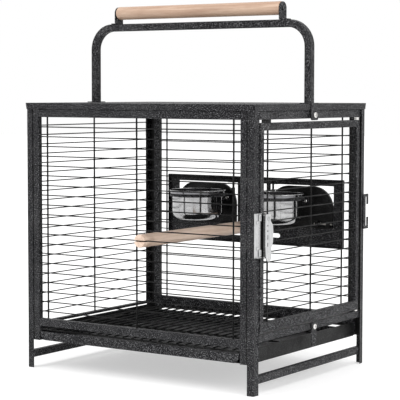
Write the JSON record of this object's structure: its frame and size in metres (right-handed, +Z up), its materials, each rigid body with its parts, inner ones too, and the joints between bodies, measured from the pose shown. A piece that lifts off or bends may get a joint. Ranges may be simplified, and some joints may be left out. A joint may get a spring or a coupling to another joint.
{
  "type": "portable bird cage",
  "caption": "Portable wire bird cage with a hinged end door, top carrying handle with wood grip, swing-out steel bowls, perch, floor grate and slide-out tray.",
  "frame": {"origin": "on the floor, under the middle of the cage", "axes": "+X towards the end with the door, -Y towards the long front panel, +Z up"},
  "size_m": [0.4877, 0.394, 0.647],
  "materials": {
    "hammered_coat": "dark charcoal powder coat with a fine hammered speckle",
    "coated_wire": "dark charcoal powder coat on wire",
    "grip_wood": "pale sanded wood, clear satin lacquer",
    "perch_wood": "pale raw wood with fine grain",
    "stainless": "polished stainless steel",
    "zinc": "bright zinc-plated steel",
    "bright_steel": "bright nickel-plated screws and pins"
  },
  "bodies": {
    "cage": {"back_bottom_rail": "hammered_coat", "back_stile_left": "hammered_coat", "back_stile_right": "hammered_coat", "back_top_rail": "hammered_coat", "back_wires": "coated_wire", "corner_post_front_left": "hammered_coat", "corner_post_front_right": "hammered_coat", "corner_post_rear_left": "hammered_coat", "corner_post_rear_right": "hammered_coat", "feeder_frame": "hammered_coat", "feeder_pivot_rods": "coated_wire", "frame_screws": "bright_steel", "front_bottom_rail": "hammered_coat", "front_stile_left": "hammered_coat", "front_stile_right": "hammered_coat", "front_top_rail": "hammered_coat", "front_wires": "coated_wire", "grip_bracket_left": "hammered_coat", "grip_bracket_right": "hammered_coat", "grip_screws": "bright_steel", "handle_foot_left": "hammered_coat", "handle_foot_right": "hammered_coat", "handle_grip": "grip_wood", "handle_tube": "hammered_coat", "latch_keeper": "zinc", "left_end_bottom_rail": "hammered_coat", "left_end_stretcher": "hammered_coat", "left_end_top_rail": "hammered_coat", "left_end_wires": "coated_wire", "perch": "perch_wood", "perch_screw": "bright_steel", "right_end_bottom_rail": "hammered_coat", "right_end_stretcher": "hammered_coat", "right_end_top_rail": "hammered_coat", "roof_cap": "hammered_coat", "side_bracket": "hammered_coat", "tray_runner_left": "hammered_coat", "tray_runner_right": "hammered_coat"},
    "door": {"door_stile_front": "hammered_coat", "door_stile_rear": "hammered_coat", "door_top_rail": "hammered_coat", "door_bottom_rail": "hammered_coat", "door_wires": "coated_wire", "door_pivot_pins": "bright_steel", "latch_base": "zinc", "latch_pin": "zinc"},
    "latch_lever": {"latch_lever": "zinc"},
    "swivel_tab": {"swivel_tab": "hammered_coat"},
    "tray": {"waste_tray": "hammered_coat"},
    "grate": {"floor_grate": "coated_wire"},
    "hatch_left": {"feeder_hatch_left": "hammered_coat", "bowl_ring_left": "hammered_coat", "ring_bolts_left": "bright_steel"},
    "bolt_left": {"feeder_bolt_left": "zinc"},
    "bowl_left": {"bowl_left": "stainless"},
    "hatch_right": {"feeder_hatch_right": "hammered_coat", "bowl_ring_right": "hammered_coat", "ring_bolts_right": "bright_steel"},
    "bolt_right": {"feeder_bolt_right": "zinc"},
    "bowl_right": {"bowl_right": "stainless"}
  },
  "joints": [
    {"name": "main_door_swing", "type": "hinge", "parent": "cage", "child": "door", "pos_m": [0.233, 0.16525, 0.27], "axis": [0, 0, 1], "range_deg": [0, 120]},
    {"name": "latch_lever_swing", "type": "hinge", "parent": "door", "child": "latch_lever", "pos_m": [0.24, -0.1605, 0.259], "axis": [0, 0, -1], "range_deg": [0, 80]},
    {"name": "swivel_tab_turn", "type": "hinge", "parent": "cage", "child": "swivel_tab", "pos_m": [0.23775, 0.007, 0.09], "axis": [1, 0, 0], "range_deg": [-180, 180]},
    {"name": "tray_slide", "type": "slide", "parent": "cage", "child": "tray", "axis": [0, -1, 0], "range_m": [0, 0.3]},
    {"name": "grate_slide", "type": "slide", "parent": "cage", "child": "grate", "axis": [0, -1, 0], "range_m": [0, 0.3]},
    {"name": "hatch_left_swing", "type": "hinge", "parent": "cage", "child": "hatch_left", "pos_m": [-0.0445, 0.1888, 0.28], "axis": [0, 0, -1], "range_deg": [0, 98]},
    {"name": "bolt_left_slide", "type": "slide", "parent": "hatch_left", "child": "bolt_left", "axis": [-1, 0, 0], "range_m": [-0.003, 0.009]},
    {"name": "bowl_left_lift", "type": "slide", "parent": "hatch_left", "child": "bowl_left", "axis": [0, 0, 1], "range_m": [0, 0.078]},
    {"name": "hatch_right_swing", "type": "hinge", "parent": "cage", "child": "hatch_right", "pos_m": [0.0445, 0.1888, 0.28], "axis": [0, 0, 1], "range_deg": [0, 98]},
    {"name": "bolt_right_slide", "type": "slide", "parent": "hatch_right", "child": "bolt_right", "axis": [1, 0, 0], "range_m": [-0.003, 0.009]},
    {"name": "bowl_right_lift", "type": "slide", "parent": "hatch_right", "child": "bowl_right", "axis": [0, 0, 1], "range_m": [0, 0.078]}
  ]
}
